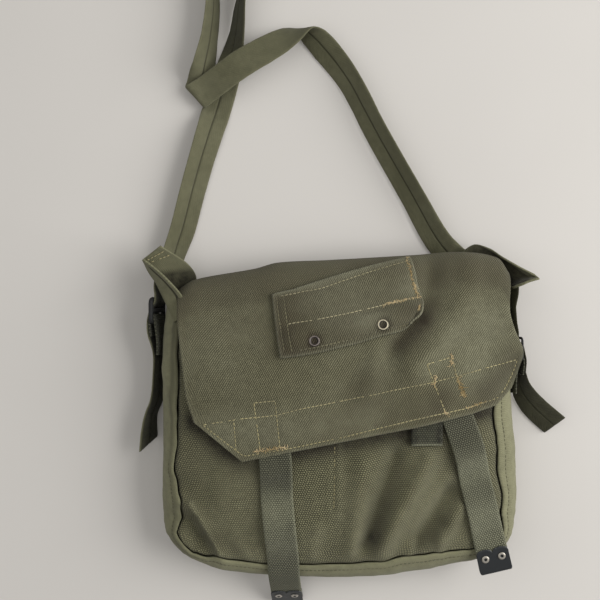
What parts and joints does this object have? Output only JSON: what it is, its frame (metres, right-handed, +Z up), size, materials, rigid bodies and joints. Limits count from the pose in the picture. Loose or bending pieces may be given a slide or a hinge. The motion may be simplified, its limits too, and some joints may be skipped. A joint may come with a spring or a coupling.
{
  "type": "gas mask bag",
  "caption": "Canvas gas mask bag lying on its back: closed flap with a patch pocket, webbing closing straps with metal tips, side slides and a laid-out shoulder strap.",
  "frame": {"origin": "on the floor, under the middle of the flat back panel", "axes": "+X across the bag to its right as seen from the flap side, +Y from its bottom to its top, +Z up out of the flap"},
  "size_m": [0.3726, 0.5912, 0.0648],
  "materials": {
    "canvas": "olive drab cotton canvas",
    "webbing": "olive cotton webbing",
    "strap_canvas": "olive canvas, folded and sewn",
    "tip_metal": "blackened sheet metal",
    "rivet_metal": "black worn to bright metal",
    "eyelet_metal": "darkened bronze",
    "buckle_metal": "black paint, a little rusty"
  },
  "bodies": {
    "root": {"back_panel": "canvas", "front_panel": "canvas", "gusset": "canvas", "gusset_ear_left": "canvas", "gusset_ear_right": "canvas", "flap": "canvas", "flap_pocket": "canvas", "eyelet_left": "eyelet_metal", "eyelet_right": "eyelet_metal", "closure_tab": "webbing", "closing_strap_left": "webbing", "strap_tip_left": "tip_metal", "tip_rivet_left_1": "rivet_metal", "tip_rivet_left_2": "rivet_metal", "closing_strap_right": "webbing", "strap_tip_right": "tip_metal", "tip_rivet_right_1": "rivet_metal", "tip_rivet_right_2": "rivet_metal", "side_buckle_left": "buckle_metal", "buckle_tab_left": "webbing", "side_buckle_right": "buckle_metal", "buckle_tab_right": "webbing", "shoulder_strap": "strap_canvas"}
  },
  "joints": []
}
